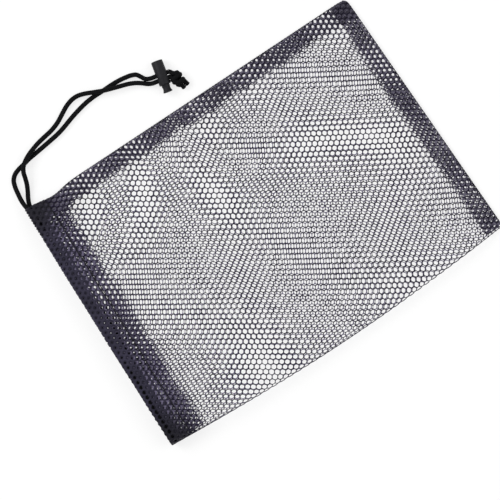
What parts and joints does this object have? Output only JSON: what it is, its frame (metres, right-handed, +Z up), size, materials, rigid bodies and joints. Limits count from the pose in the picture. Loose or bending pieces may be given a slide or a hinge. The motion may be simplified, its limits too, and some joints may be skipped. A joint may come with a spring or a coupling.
{
  "type": "mesh ball bag",
  "caption": "Flat drawstring bag of black hexagonal net, with a corded mouth channel, two sewn edges, one folded edge and a sprung cord lock.",
  "frame": {"origin": "centre of the bag's underside, on the surface it lies on, measured without the free cord", "axes": "+Z up, +X from the open mouth to the sewn closed end, +Y towards the sewn long side where the drawcord comes out, -Y towards the folded long side"},
  "size_m": [0.3105, 0.2774, 0.016],
  "materials": {
    "net": "warp-knitted polyester hexagonal net, near black with a faint violet cast",
    "thread": "black polyester sewing thread",
    "drawcord": "black braided polyester cord, 3.8 mm",
    "lock_plastic": "moulded dark grey plastic, satin",
    "spring_steel": "bright spring wire"
  },
  "bodies": {
    "bag": {"net_back_panel": "net", "net_front_panel": "net", "net_fold_edge": "net", "mouth_channel_back": "net", "mouth_channel_fold": "net", "mouth_channel_front": "net", "channel_hem_back": "net", "channel_hem_front": "net", "side_seam_allowance_back": "net", "side_seam_allowance_front": "net", "end_seam_allowance_back": "net", "end_seam_allowance_front": "net", "side_seam_thread": "thread", "end_seam_thread": "thread", "channel_thread": "thread", "exit_bar_tack": "thread", "drawcord_in_channel": "drawcord", "cord_strand_a": "drawcord", "cord_strand_b": "drawcord", "cord_end_knot": "drawcord", "cord_tail_a": "drawcord", "cord_tail_b": "drawcord"},
    "lock_body": {"lock_barrel": "lock_plastic", "lock_spring": "spring_steel"},
    "lock_button": {"lock_plunger": "lock_plastic"}
  },
  "joints": [
    {"name": "lock_slide", "type": "slide", "parent": "bag", "child": "lock_body", "axis": [-0.9759, 0.2181, 0], "range_m": [0, 0.004]},
    {"name": "button_press", "type": "slide", "parent": "lock_body", "child": "lock_button", "axis": [0.2181, 0.9759, 0], "range_m": [0, 0.003], "stiffness_N_per_m": 400, "springref_m": -0.003, "deforming": ["lock_spring"]}
  ]
}
